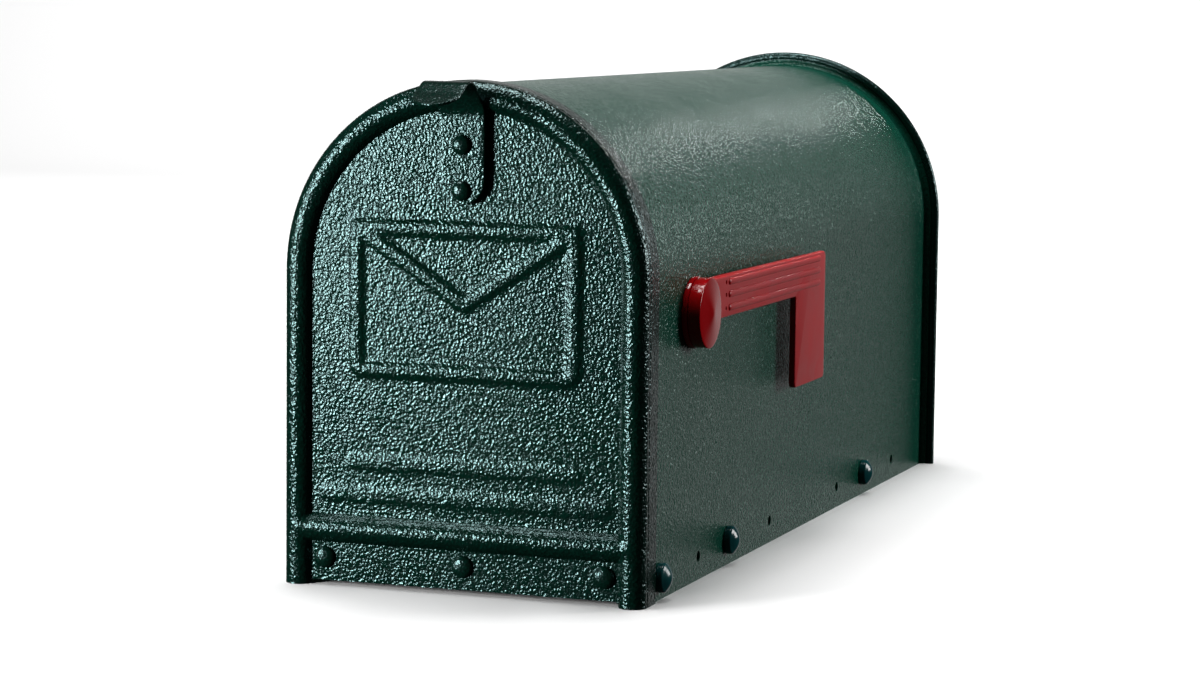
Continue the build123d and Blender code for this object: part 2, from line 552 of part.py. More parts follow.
# ---------------------------------------------------------------- all pieces
def build():
    """Every piece of the mailbox, by name."""
    hinge = (HINGE_SETBACK, HINGE_HEIGHT)
    pivot = (HUB_SETBACK, HUB_HEIGHT)
    pin = headed_pin(PIN_RADIUS, RETAINER_INSIDE - SHEET, *hinge)
    bore = PIN_RADIUS + RUNNING_CLEARANCE
    washer_outside = WALL_INSIDE - FIT_GAP
    washer_inside = washer_outside - HINGE_WASHER_THICKNESS
    washer = ring_x(bore, HINGE_WASHER_RADIUS, washer_inside, washer_outside, *hinge)
    retainer = ring_x(bore, RETAINER_RADIUS, RETAINER_INSIDE, RETAINER_INSIDE + RETAINER_THICKNESS, *hinge)
    floor_rivets = [floor_rivet(y) for y in RIVET_PLACES]
    door_tail = PANEL_BACK + HOOK_SHEET
    bar_tail = PANEL_BACK + BAR_SHEET
    bolt_bore = BOLT_RADIUS + RUNNING_CLEARANCE
    return {
        "body_shell": body_shell(),
        "rear_panel": rear_panel(),
        "floor_pan": floor_pan(),
        "catch_plate": catch_plate(),
        "hinge_pin_right": pin,
        "hinge_pin_left": other_side(pin),
        "hinge_washer_right": washer,
        "hinge_washer_left": other_side(washer),
        "hinge_retainer_right": retainer,
        "hinge_retainer_left": other_side(retainer),
        "floor_rivet_front_right": floor_rivets[0],
        "floor_rivet_front_left": other_side(floor_rivets[0]),
        "floor_rivet_rear_right": floor_rivets[1],
        "floor_rivet_rear_left": other_side(floor_rivets[1]),
        "door_panel": door_panel(),
        "hinge_bar": hinge_bar(),
        "hinge_bar_rivets": Compound(children=[
            small_rivet(x, STRIP_RIVET_HEIGHT, PANEL_FRONT, bar_tail, STRIP_RIVET_RADIUS)
            for x in STRIP_RIVET_PLACES]),
        "latch_strap": latch_strap(),
        "latch_rivets": Compound(children=[
            small_rivet(0, DOOR_TOP - drop, STRAP_FACE, door_tail, DOME_RADIUS)
            for drop in STRAP_RIVET_DROPS]),
        "latch_hook": latch_hook(),
        "flag_arm": flag_arm(),
        "flag_base": flag_base(),
        "flag_hub_cap": flag_hub_cap(),
        "flag_pivot_bolt": flag_pivot_bolt(),
        "flag_wave_washer": ring_x(bolt_bore, SPRING_RADIUS, SPRING_SEAT + RUNNING_CLEARANCE,
                                   BOLT_HEAD_UNDERSIDE, *pivot),
        "flag_backing_plate": ring_x(bolt_bore, BACKING_RADIUS, BACKING_INSIDE, WALL_INSIDE, *pivot),
        "flag_lock_nut": flag_lock_nut(),
    }


os.makedirs("parts", exist_ok=True)
to_origin = Location((0, -MID_DEPTH, -FLOOR_RISE))
for name, piece in build().items():
    export_step(to_origin * piece, os.path.join("parts", name + ".step"))
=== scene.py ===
"""Looks of the post-mount mailbox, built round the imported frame.

Lengths are in millimetres up to the moment a mesh is made. Depths run back from the crest of
the door's bead, heights run up from the bottom edge of the body, and widths from its middle.
"""

import json
import math

import bmesh
import bpy
import numpy as np
from mathutils import Matrix, Vector


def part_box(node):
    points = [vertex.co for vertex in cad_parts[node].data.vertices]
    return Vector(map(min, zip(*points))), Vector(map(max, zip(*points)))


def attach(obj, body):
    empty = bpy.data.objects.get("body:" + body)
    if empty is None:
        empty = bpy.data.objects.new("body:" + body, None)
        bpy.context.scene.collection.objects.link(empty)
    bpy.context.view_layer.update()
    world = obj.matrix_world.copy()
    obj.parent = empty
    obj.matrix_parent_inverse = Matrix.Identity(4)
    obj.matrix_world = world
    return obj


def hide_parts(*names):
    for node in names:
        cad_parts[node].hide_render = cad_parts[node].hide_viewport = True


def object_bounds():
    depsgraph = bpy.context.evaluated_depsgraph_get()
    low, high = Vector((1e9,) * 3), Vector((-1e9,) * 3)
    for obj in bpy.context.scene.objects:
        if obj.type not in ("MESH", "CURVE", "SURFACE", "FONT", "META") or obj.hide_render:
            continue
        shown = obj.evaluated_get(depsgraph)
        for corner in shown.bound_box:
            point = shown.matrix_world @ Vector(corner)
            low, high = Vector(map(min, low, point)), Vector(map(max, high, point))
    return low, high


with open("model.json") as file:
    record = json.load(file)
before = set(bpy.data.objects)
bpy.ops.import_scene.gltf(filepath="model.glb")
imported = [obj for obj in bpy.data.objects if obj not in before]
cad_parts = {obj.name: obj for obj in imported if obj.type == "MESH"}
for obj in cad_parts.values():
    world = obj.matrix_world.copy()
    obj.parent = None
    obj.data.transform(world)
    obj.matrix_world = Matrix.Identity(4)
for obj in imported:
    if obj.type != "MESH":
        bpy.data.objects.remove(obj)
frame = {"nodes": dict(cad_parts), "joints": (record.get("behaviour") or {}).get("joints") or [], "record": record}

cad_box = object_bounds()

# ------------------------------------------------------------------ sizes read from the frame
MM = 0.001
boxes = {name: [np.array(corner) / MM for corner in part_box(name)] for name in frame["nodes"]}
DATUM = np.array([0.0, boxes["door_panel"][0][1], boxes["body_shell"][0][2]])
LOW = {name: corners[0] - DATUM for name, corners in boxes.items()}
HIGH = {name: corners[1] - DATUM for name, corners in boxes.items()}
JOINTS = {joint["name"]: np.array(joint["pos_m"]) / MM - DATUM for joint in frame["joints"]}

SHEET = 0.7
BODY_HALF = LOW["flag_base"][0]
BODY_FRONT = LOW["body_shell"][1]
BODY_REAR = HIGH["body_shell"][1]
FLANGE_HALF = HIGH["body_shell"][0]
BODY_SPRING = HIGH["body_shell"][2] - FLANGE_HALF
DOOR_HALF = HIGH["door_panel"][0]
DOOR_TOP = HIGH["door_panel"][2]
DOOR_SPRING = DOOR_TOP - DOOR_HALF
DOOR_FLANGE = HIGH["door_panel"][1]
RIM_HALF = HIGH["rear_panel"][0]
RIM_BACK = HIGH["rear_panel"][1]
FLOOR_TOP = HIGH["hinge_bar"][2] + 5.5      # a tenth over the floor pan, whose ribs stand higher
PIVOT = JOINTS["flag_pivot"]
HINGE = JOINTS["door_hinge"]
HUB_RADIUS = (HIGH["flag_hub_cap"][1] - LOW["flag_hub_cap"][1]) / 2
COLLAR_FACE = HIGH["flag_base"][0]
HUB_FACE = LOW["flag_hub_cap"][0] + 0.9     # the cap's ring stands this far into the hub
CAP_FACE = HIGH["flag_hub_cap"][0]

# ------------------------------------------------------------------ sizes of the finish
BEAD_RADIUS = 6.0
BEAD_HEIGHT = 4.6
PANEL_DEPTH = BEAD_HEIGHT   # from the crest of the bead back to the door's panel
CROSS_BEAD = 24.6           # height of the cross bead's middle
STRIP_RISE = 2.0            # how far the lower strip's edge stands above the body's
CREASE = 1.3                # radius at the foot of the beads
EMBLEM_RISE = 1.05
EMBLEM_EDGE = 2.5           # width of the emblem's sloping edge
EMBLEM_LINE = 5.6           # width of the emblem's lines
EMBLEM_CORNER = 3.0
EMBLEM_HALF = (52.0, 33.0)
EMBLEM_CENTRE = 124.0
EMBLEM_FLAP = 34.0          # from the envelope's top edge down to the flap's point
BARS = ((53.0, 54.0), (66.0, 40.0))     # half length and height of each bar
BAR_HALF_HEIGHT = 3.0
BAR_RISE = 0.5
STRAP_DEPTH = 4.0           # of the strap over its turned-back edges
STRAP_FACE = BEAD_HEIGHT - STRAP_DEPTH
TAB_SHEET = 1.4
TAB_LENGTH = 44.0           # along the tab from the strap's knee to its tip
PIN_HOLE = 2.5
MOUNT_HOLE = 2.4
PIVOT_HOLE = 3.1
WING_WIDTH = 50.0
ARM_EDGES = (-3.7, 14.3)    # below and above the pivot
RIB_HEIGHTS = (11.5, 6.0, 0.2)
RIB_ENDS = (25.5, 168.0)
RIB_HALF, RIB_RISE = 1.5, 0.8
CUP_PLACE = 22.0            # behind the pivot
TIP_LENGTH, TIP_LEAN = 23.0, 0.018      # the arm's end leans in by this share of its length
CURL = 2.2                  # radius of the rear wall's curled edge
CURL_LEG = 1.5              # how far the curl's leg stands in front of its middle
REAR_BORDER = (22.0, 12.0)  # width of the rear wall's flat border: round the arch, along the bottom


# ------------------------------------------------------------------ mesh making
def finish_mesh(name, points, faces, sharp=35.0):
    """A mesh object from millimetre points: doubles merged, faces turned outwards, shaded smooth."""
    mesh = bpy.data.meshes.new(name)
    mesh.from_pydata(((np.asarray(points) + DATUM) * MM).tolist(), [], faces)
    shell = bmesh.new()
    shell.from_mesh(mesh)
    bmesh.ops.remove_doubles(shell, verts=shell.verts, dist=0.00001)
    bmesh.ops.dissolve_degenerate(shell, edges=shell.edges, dist=0.000001)
    bmesh.ops.recalc_face_normals(shell, faces=shell.faces)
    shell.to_mesh(mesh)
    shell.free()
    piece = bpy.data.objects.new(name, mesh)
    bpy.context.scene.collection.objects.link(piece)
    soften(mesh, sharp)
    return piece


def soften(mesh, sharp):
    """Smooth shading with creases kept where faces meet at more than the given angle."""
    mesh.polygons.foreach_set("use_smooth", np.ones(len(mesh.polygons), bool))
    mesh.set_sharp_from_angle(angle=math.radians(sharp))


def grid_faces(rows, columns, wrap=False, start=0):
    """Quads between neighbouring rows and columns, the last column joined to the first if wrapped."""
    starts = np.arange(columns if wrap else columns - 1)
    row, column = np.meshgrid(np.arange(rows - 1), starts, indexing="ij")
    after = (column + 1) % columns
    quads = np.stack([row * columns + column, row * columns + after,
                      (row + 1) * columns + after, (row + 1) * columns + column], axis=-1)
    return (quads.reshape(-1, 4) + start).tolist()


def tube(rings, capped=True):
    """Points and faces of a closed loop carried through rings, with flat ends if capped."""
    count, around = rings.shape[:2]
    faces = grid_faces(count, around, wrap=True)
    if capped:
        faces.append(list(range(around))[::-1])
        faces.append(list(range((count - 1) * around, count * around)))
    return rings.reshape(-1, 3), faces


def joined(*parts):
    """Several (points, faces) as one."""
    points, faces = [], []
    start = 0
    for some_points, some_faces in parts:
        points.append(some_points)
        faces += [[index + start for index in face] for face in some_faces]
        start += len(some_points)
    return np.concatenate(points), faces


def applied(piece, sharp=35.0):
    """The piece with its modifiers worked into its mesh."""
    shown = piece.evaluated_get(bpy.context.evaluated_depsgraph_get())
    mesh = bpy.data.meshes.new_from_object(shown)
    piece.modifiers.clear()
    piece.data = mesh
    soften(mesh, sharp)
    return piece


def thickened(piece, thickness):
    """A sheet given its wall on the inner side."""
    wall = piece.modifiers.new("wall", "SOLIDIFY")
    wall.thickness = thickness * MM
    wall.offset = -1.0
    wall.use_even_offset = True
    return applied(piece)


def smooth_step(value, low, high):
    """0 below low, 1 above high, and 3t^2 - 2t^3 between."""
    t = np.clip((value - low) / (high - low), 0.0, 1.0)
    return t * t * (3.0 - 2.0 * t)


def smooth_max(first, second, radius):
    """The larger of two heights, rounded over where they are nearly the same."""
    near = np.maximum(radius - np.abs(first - second), 0.0)
    return np.maximum(first, second) + near * near / (4.0 * radius)


def revolved(profile, centre, turns=48, axis="x", side=1.0):
    """A profile of (radius, distance along the axis) turned round an axis through centre.

    Point = centre + axis * distance + radius * (cos a, sin a) in the plane across the axis.
    """
    radius, along = np.array(profile, float).T
    angle = np.linspace(0.0, 2.0 * np.pi, turns, endpoint=False)
    first = radius[:, None] * np.cos(angle)
    second = radius[:, None] * np.sin(angle)
    along = np.broadcast_to(side * along[:, None], first.shape)
    order = {"x": (along, first, second), "y": (first, along, second)}[axis]
    rings = np.stack(order, axis=-1) + np.array(centre)
    return tube(rings, capped=False)


# ------------------------------------------------------------------ arched pressings
def arch_rows(heights, spring, steps):
    """Base height and lean of each row: level rows up to the spring line, then a quarter circle."""
    lean = np.concatenate([np.zeros(len(heights)), np.linspace(0.0, np.pi / 2, steps)])
    base = np.concatenate([heights, np.full(steps, spring)])
    return base, lean


def arched_sheet(half, base, lean, section, columns):
    """Sheet with an arched outline, as arrays x, y and z.

    The border is a section of (inset, depth) carried up both sides and over the arch:
    x = (half - inset) cos lean, z = base + (half - inset) sin lean. The field joins the section's
    last points with straight rows across.
    """
    inset, depth = np.array(section, float).T
    reach = half - inset
    x = reach * np.cos(lean)[:, None]
    z = base[:, None] + reach * np.sin(lean)[:, None]
    y = np.broadcast_to(depth, x.shape)
    across = np.linspace(-1.0, 1.0, columns)[1:-1]
    field = x[:, -1:] * across
    level = np.broadcast_to(z[:, -1:], field.shape)
    flat = np.full(field.shape, depth[-1])
    xs = np.concatenate([-x, field, x[:, ::-1]], axis=1)
    ys = np.concatenate([y, flat, y[:, ::-1]], axis=1)
    zs = np.concatenate([z, level, z[:, ::-1]], axis=1)
    return xs, ys, zs


def arch_inset(x, z, half, spring):
    """Distance in from the arched outline."""
    return half - np.where(z > spring, np.hypot(x, np.maximum(z - spring, 0.0)), np.abs(x))


def box_distance(x, z, half_width, half_height):
    """Distance outside (or, below 0, inside) a rectangle about the origin."""
    over_x, over_z = np.abs(x) - half_width, np.abs(z) - half_height
    outside = np.hypot(np.maximum(over_x, 0.0), np.maximum(over_z, 0.0))
    return outside + np.minimum(np.maximum(over_x, over_z), 0.0)


def line_distance(x, z, start, end):
    """Distance from a straight line between two points."""
    run = np.array(end, float) - start
    share = np.clip(((x - start[0]) * run[0] + (z - start[1]) * run[1]) / (run @ run), 0.0, 1.0)
    return np.hypot(x - start[0] - share * run[0], z - start[1] - share * run[1])


def emblem_height(x, z):
    """Raised envelope and two bars: full height inside each line, sloping to nothing over its edge."""
    half, tall = EMBLEM_HALF
    z_mid = z - EMBLEM_CENTRE
    corner, top = half - EMBLEM_LINE / 2, tall - EMBLEM_LINE / 2
    rounded = box_distance(x, z_mid, corner - EMBLEM_CORNER, top - EMBLEM_CORNER) - EMBLEM_CORNER
    point = (0.0, tall - EMBLEM_FLAP)
    flap = np.minimum(line_distance(x, z_mid, (-corner, top), point),
                      line_distance(x, z_mid, point, (corner, top)))
    lines = np.minimum(np.abs(rounded), flap) - EMBLEM_LINE / 2
    rise = EMBLEM_RISE * smooth_step(-lines, -EMBLEM_EDGE / 2, EMBLEM_EDGE / 2)
    for reach, height in BARS:
        bar = line_distance(x, z, (BAR_HALF_HEIGHT - reach, height), (reach - BAR_HALF_HEIGHT, height))
        rise += BAR_RISE * smooth_step(BAR_HALF_HEIGHT - bar, -EMBLEM_EDGE / 2, EMBLEM_EDGE / 2)
    return rise


def make_door():
    """Door pressing. Height over the panel is the rounded maximum of the side bead's arc, the cross
    bead's arc and nothing, with the emblem's height added."""
    groove = [(0.0, DOOR_FLANGE), (0.0, 17.0), (0.0, 12.5), (0.0, 8.0), (0.0, 7.5), (0.25, 7.1)]
    sweep = np.radians(np.array([4.0, -12.0, -25.0, -38.0, -52.0, -66.0, -80.0, -90.0]))
    outer = [(BEAD_RADIUS * (1 - math.cos(a)), BEAD_RADIUS * (1 + math.sin(a))) for a in sweep]
    inner = [(inset, PANEL_DEPTH) for inset in (7.0, 8.0, 9.0, 9.9, 10.6, 11.2, 11.7, 12.2, 12.8, 13.6)]
    low = np.arange(0.0, 15.0, 1.0)
    bead_rows = np.arange(15.0, 34.0, 0.7)
    rows = np.concatenate([low, bead_rows, np.arange(34.3, DOOR_SPRING - 0.5, 1.1)])
    base, lean = arch_rows(rows, DOOR_SPRING, 90)
    x, y, z = arched_sheet(DOOR_HALF, base, lean, groove + outer + inner, 124)
    inset = arch_inset(x, z, DOOR_HALF, DOOR_SPRING)
    front = inset > BEAD_RADIUS + 0.01
    side = bead_height(inset - BEAD_RADIUS)
    cross = bead_height(z - CROSS_BEAD)
    height = smooth_max(smooth_max(side, cross, CREASE), 0.0, CREASE)
    height = height + emblem_height(x, z)
    y = np.where(front, PANEL_DEPTH - height, y)
    lift = STRIP_RISE * np.clip(1.0 - z / 8.0, 0.0, 1.0) * smooth_step(inset, 11.4, 12.8)
    points = np.stack([x, y, z + lift], axis=-1).reshape(-1, 3)
    door = finish_mesh("door_pressing", points, grid_faces(*x.shape))
    return thickened(door, SHEET)


def bead_height(offset):
    """Height of a round bead above the panel, well below 0 away from it."""
    circle = np.sqrt(np.maximum(BEAD_RADIUS ** 2 - offset ** 2, 0.0)) - (BEAD_RADIUS - BEAD_HEIGHT)
    return np.where(np.abs(offset) < BEAD_RADIUS - 0.05, circle, -BEAD_HEIGHT)


def make_rear_wall():
    """Rear wall: a curl round the body's flange, a flat border, and a raised field of the same arch."""
    seat = RIM_BACK - CURL
    leg = [(CURL + 1.9, seat - 0.9), (CURL + 1.9, seat - CURL_LEG)]
    ring = [(CURL + CURL * math.cos(a), seat - CURL * math.sin(a)) for a in turn_outside()]
    border = [(CURL + 2.4, seat + SHEET), (6.5, seat + SHEET), (9.0, seat + SHEET)]
    rows = np.concatenate([np.arange(0.0, 8.0, 2.0), np.arange(8.0, 18.0, 0.8),
                           np.arange(18.0, BODY_SPRING - 1.0, 4.0)])
    base, lean = arch_rows(rows, BODY_SPRING, 72)
    x, y, z = arched_sheet(RIM_HALF, base, lean, leg + ring + border, 90)
    inset = arch_inset(x, z, RIM_HALF, BODY_SPRING)
    field = np.minimum(inset - REAR_BORDER[0], z - REAR_BORDER[1])
    raised = (RIM_BACK - seat - SHEET) * smooth_step(field, -1.0, 1.6)
    y = y + np.where(inset > 8.5, raised, 0.0)
    points = np.stack([x, y, z], axis=-1).reshape(-1, 3)
    wall = finish_mesh("rear_wall_pressing", points, grid_faces(*x.shape))
    return thickened(wall, SHEET)


def turn_outside():
    """Angles round the curl from its front leg, over the outside, to the back of the wall."""
    front = np.linspace(math.asin(CURL_LEG / CURL), math.pi, 16)
    return np.concatenate([front, np.linspace(math.pi, 2 * math.pi - math.asin(SHEET / CURL), 18)[1:]])


# ------------------------------------------------------------------ body
def carried_round(loop, bottom, side_rows, round_rows):
    """A closed loop of (inset, depth) carried up one wall, over the arch and down the other."""
    rise = np.linspace(bottom, BODY_SPRING, side_rows, endpoint=False)
    lean = np.linspace(0.0, np.pi, round_rows)
    lean = np.concatenate([np.zeros(side_rows), lean, np.full(side_rows, np.pi)])
    base = np.concatenate([rise, np.full(round_rows, BODY_SPRING), rise[::-1]])
    inset, depth = np.array(loop, float).T
    reach = BODY_HALF - inset
    x = np.cos(lean)[:, None] * reach
    z = base[:, None] + np.sin(lean)[:, None] * reach
    y = np.broadcast_to(depth, x.shape)
    return np.stack([x, y, z], axis=-1)


def make_body():
    """Body sheet: one wall section with its concave rear bend and flange, carried round the arch."""
    bend = 3.0
    start = BODY_REAR - SHEET - bend
    turn = np.linspace(0.0, np.pi / 2, 9)
    outside = [(0.0, depth) for depth in np.linspace(BODY_FRONT, start, 24, endpoint=False)]
    outside += [(-bend + bend * math.cos(a), start + bend * math.sin(a)) for a in turn]
    tip = BODY_HALF - FLANGE_HALF
    flange = [(tip, BODY_REAR - SHEET), (tip, BODY_REAR)]
    inner = bend + SHEET
    inside = [(-bend + inner * math.cos(a), start + inner * math.sin(a)) for a in turn[::-1]]
    inside += [(SHEET, depth) for depth in np.linspace(start, BODY_FRONT, 24)[1:]]
    rings = carried_round(outside + flange + inside, 0.0, 30, 97)
    # below the hinge the front edge follows a circle about it, so that the door clears the wall
    below = np.clip(HINGE[2] - rings[..., 2], 0.0, None)
    swing = HINGE[1] - BODY_FRONT
    nose = HINGE[1] - np.sqrt(np.maximum(swing ** 2 - below ** 2, 0.0))
    rings[..., 1] = np.maximum(rings[..., 1], nose)
    body = finish_mesh("body_sheet", *tube(rings))
    return drilled(body)


def drilled(body):
    """The body with its pin, rivet, mounting and flag holes cut through."""
    cutters = []
    through = (-BODY_HALF - 5, BODY_HALF + 5)
    for name in ("hinge_pin_right", "floor_rivet_front_right", "floor_rivet_rear_right"):
        middle = (LOW[name] + HIGH[name]) / 2
        cutters.append((middle[1], middle[2], PIN_HOLE, *through))
    for mount in frame["record"]["mounts"]:
        if mount["kind"] == "bolt_pattern" and mount["axis"][0] > 0:
            middle = np.array(mount["pos_m"]) / MM - DATUM
            pitch = mount["dims"]["spacing_x_mm"] / 2
            for offset in (-pitch, pitch):
                cutters.append((middle[1] + offset, middle[2], MOUNT_HOLE, *through))
    cutters.append((PIVOT[1], PIVOT[2], PIVOT_HOLE, 0.0, through[1]))
    parts = [revolved([(0, low), (radius, low), (radius, high), (0, high)], (0, y, z), 24)
             for y, z, radius, low, high in cutters]
    return cut_away(body, parts)


def cut_away(piece, parts, sharp=35.0):
    """The piece less some closed solids."""
    drill = finish_mesh("drill", *joined(*parts))
    cut = piece.modifiers.new("holes", "BOOLEAN")
    cut.operation, cut.solver, cut.object = "DIFFERENCE", "EXACT", drill
    applied(piece, sharp)
    bpy.data.objects.remove(drill)
    return piece


def make_front_hem():
    """Folded edge inside the opening: a flat loop with a rounded nose, above the floor."""
    depth, fold = 7.5, SHEET / 2
    nose = [(SHEET + fold - fold * math.cos(a), BODY_FRONT + fold - fold * math.sin(a))
            for a in np.linspace(0.0, np.pi, 7)]
    loop = nose + [(2 * SHEET, BODY_FRONT + depth), (SHEET + 0.02, BODY_FRONT + depth)]
    rings = carried_round(loop, FLOOR_TOP, 4, 65)
    return finish_mesh("opening_hem", *tube(rings))


# ------------------------------------------------------------------ latch strap
def corner_arc(before, corner, after, radius, count):
    """Points of the arc that rounds a corner, as many as count gives for the arc's length."""
    back, ahead = before - corner, after - corner
    back, ahead = back / np.linalg.norm(back), ahead / np.linalg.norm(ahead)
    half = math.acos(np.clip(back @ ahead, -1, 1)) / 2
    middle = (back + ahead) / np.linalg.norm(back + ahead)
    centre = corner + middle * radius / math.sin(half)
    enter, leave = corner + back * radius / math.tan(half), corner + ahead * radius / math.tan(half)
    share = np.linspace(0.0, 1.0, count(radius * (math.pi - 2 * half)))[:, None]
    chord = enter + (leave - enter) * share - centre
    return centre + radius * chord / np.linalg.norm(chord, axis=1, keepdims=True)


def rounded_path(corners, radii, step):
    """Points along straight runs joined by tangent arcs, about one step apart."""
    corners = np.array(corners, float)
    pieces = [corners[:1]]
    for before, corner, after, radius in zip(corners[:-2], corners[1:-1], corners[2:], radii):
        pieces.append(corner_arc(before, corner, after, radius,
                                 lambda length: max(4, int(length / step))))
    pieces.append(corners[-1:])
    path = np.concatenate(pieces)
    along = np.concatenate([[0.0], np.cumsum(np.linalg.norm(np.diff(path, axis=0), axis=1))])
    even = np.linspace(0.0, along[-1], int(along[-1] / step))
    return np.stack([np.interp(even, along, path[:, 0]), np.interp(even, along, path[:, 1])], axis=1), even


def rounded_loop(half_width, thickness, radius, across=10, turns=5):
    """Loops of a rounded rectangle, one for each width: offset across and depth behind the face."""
    quarter = np.linspace(0.0, np.pi / 2, turns)
    radius = np.minimum(np.minimum(radius, thickness / 2), half_width)[:, None]
    inner, deep = half_width[:, None] - radius, thickness[:, None] - radius
    face = np.linspace(-1.0, 1.0, across)[1:-1]
    parts = [
        (inner * face, np.zeros_like(inner * face)),
        (inner + radius * np.sin(quarter), radius - radius * np.cos(quarter)),
        (inner + radius * np.cos(quarter), deep + radius * np.sin(quarter)),
        (-inner * face, thickness[:, None] + np.zeros_like(inner * face)),
        (-inner - radius * np.sin(quarter), deep + radius * np.cos(quarter)),
        (-inner - radius * np.cos(quarter), radius - radius * np.sin(quarter)),
    ]
    return tuple(np.concatenate(some, axis=1) for some in zip(*parts))


def make_strap():
    """Latch strap: a rounded rectangle carried along the strap's side view, round at both ends,
    deep with turned-back edges on the door and one sheet thick from the knee to the tab's tip."""
    half = (HIGH["latch_strap"][0] - LOW["latch_strap"][0]) / 2
    foot = LOW["latch_strap"][2]
    path, along = rounded_path(
        [(STRAP_FACE, foot), (STRAP_FACE, DOOR_TOP - 12.5), (-13.8, DOOR_TOP + 0.9),
         (-24.5, DOOR_TOP - 6.0), (-34.5, DOOR_TOP - 10.2)], [8.0, 8.5, 16.0], 0.5)
    run = np.gradient(path, axis=0)
    run /= np.linalg.norm(run, axis=1, keepdims=True)
    behind = np.stack([run[:, 1], -run[:, 0]], axis=1)
    knee = along[-1] - TAB_LENGTH
    thickness = STRAP_DEPTH - (STRAP_DEPTH - TAB_SHEET) * smooth_step(along, knee - 9.0, knee - 2.0)
    from_end = np.minimum(along, along[-1] - along)
    width = np.sqrt(np.maximum(half ** 2 - np.maximum(half - from_end, 0.0) ** 2, 0.0))
    offset, depth = rounded_loop(width, thickness, 0.55)
    y = path[:, :1] + behind[:, :1] * depth
    z = path[:, 1:] + behind[:, 1:] * depth
    return finish_mesh("pull_strap", *tube(np.stack([offset, y, z], axis=-1)), sharp=50.0)


# ------------------------------------------------------------------ fasteners
def dome_profile(radius, height, seat, steps=10):
    """Flattened dome: radius cos t, height sin t, with a short upright edge where it is seated."""
    turn = np.linspace(0.0, np.pi / 2, steps)
    top = [(radius * math.cos(t) ** 0.9, height * (0.12 + 0.88 * math.sin(t))) for t in turn]
    return [(0.0, -seat), (radius * 0.98, -seat), (radius, 0.0)] + top


def make_door_rivets(name, places, radius, height, face):
    """Domed rivets that face the front."""
    domes = [revolved(dome_profile(radius, height, 0.4), (x, face, z), 40, "y", -1.0) for x, z in places]
    return finish_mesh(name, *joined(*domes))


def make_plastic_pin(node, name):
    """Plastic pin through a side wall: a short drum with a rounded edge, a low dome and a plain shank."""
    middle = (LOW[node] + HIGH[node]) / 2
    side = 1.0 if middle[0] > 0 else -1.0
    radius = (HIGH[node][2] - LOW[node][2]) / 2
    length = BODY_HALF - min(abs(LOW[node][0]), abs(HIGH[node][0]))
    edge, rim, crown, turned = 1.2, 3.5, 2.2, 1.25
    profile = [(0.0, -length), (PIN_HOLE - 0.3, -length), (PIN_HOLE, 0.3 - length), (PIN_HOLE, 0.0),
               (radius - 0.35, 0.0), (radius, 0.35)]
    profile += [(radius - edge + edge * math.cos(a), rim - edge + edge * math.sin(a))
                for a in np.linspace(0.0, turned, 6)]
    reach, level = profile[-1]
    profile += [(reach * s, level + crown * (1 - s ** 2)) for s in np.linspace(1.0, 0.0, 9)[1:]]
    seat = (side * BODY_HALF, middle[1], middle[2])
    return finish_mesh(name, *revolved(profile, seat, 44, "x", side), sharp=40.0)


# ------------------------------------------------------------------ flag
def rounded_outline(corners, radii, steps=7):
    """Closed outline with each corner rounded by an arc."""
    corners = np.array(corners, float)
    turns = zip(np.roll(corners, 1, 0), corners, np.roll(corners, -1, 0), radii)
    return np.concatenate([corner_arc(*turn, lambda length: steps) for turn in turns])


def inward(outline):
    """Unit normals of a closed outline, pointing to its inside."""
    run = np.roll(outline, -1, 0) - np.roll(outline, 1, 0)
    normal = np.stack([-run[:, 1], run[:, 0]], axis=1) / np.linalg.norm(run, axis=1, keepdims=True)
    area = np.sum(outline[:, 0] * np.roll(outline[:, 1], -1) - np.roll(outline[:, 0], -1) * outline[:, 1])
    return normal * np.sign(area)


def slab(outline, back, front, edge):
    """A plate between two faces across X, its outline drawn in by a quarter circle at each face."""
    normal = inward(outline)
    turn = np.linspace(0.0, np.pi / 2, 5)
    inset = np.concatenate([edge * (1 - np.sin(turn)), edge * (1 - np.cos(turn))])
    rise = np.concatenate([edge * (1 - np.cos(turn)), edge * np.sin(turn) - edge])
    rings = []
    for drawn_in, step, near_front in zip(inset, rise, np.arange(len(inset)) >= len(turn)):
        flat = outline + normal * drawn_in
        start = front if near_front else back
        x = np.broadcast_to(start, (len(outline),)) + step
        rings.append(np.stack([x, flat[:, 0], flat[:, 1]], axis=1))
    return tube(np.stack(rings))


def make_flag():
    """Arm and wing in one moulding, with a small cup ahead of each rib and a tip that leans in."""
    y, z = PIVOT[1], PIVOT[2]
    end, wing_bottom = HIGH["flag_arm"][1] - y, LOW["flag_arm"][2] - z
    wing = end - WING_WIDTH
    arm_bottom, arm_top = ARM_EDGES
    corners = [(0.0, arm_top), (end, arm_top), (end, wing_bottom), (wing, wing_bottom),
               (wing, arm_bottom), (0.0, arm_bottom)]
    outline = rounded_outline(corners, [2.0, 3.0, 2.6, 2.6, 1.6, 2.0])
    outline = outline + np.array([y, z])
    thinning = smooth_step(outline[:, 0], y + 20.0, y + wing)
    back = COLLAR_FACE + 0.4 + 2.1 * thinning
    blade = slab(outline, back, HUB_FACE, 0.7)
    flag = finish_mesh("flag_blade", *blade, sharp=40.0)
    cup = [(0.0, -0.8), (0.6, -0.6), (0.95, -0.25), (1.05, 0.5), (0.0, 0.5)]
    cups = [revolved(cup, (HUB_FACE, y + CUP_PLACE, z + height), 20) for height in RIB_HEIGHTS]
    return bent_tip(cut_away(flag, cups, 40.0), y + end - TIP_LENGTH)


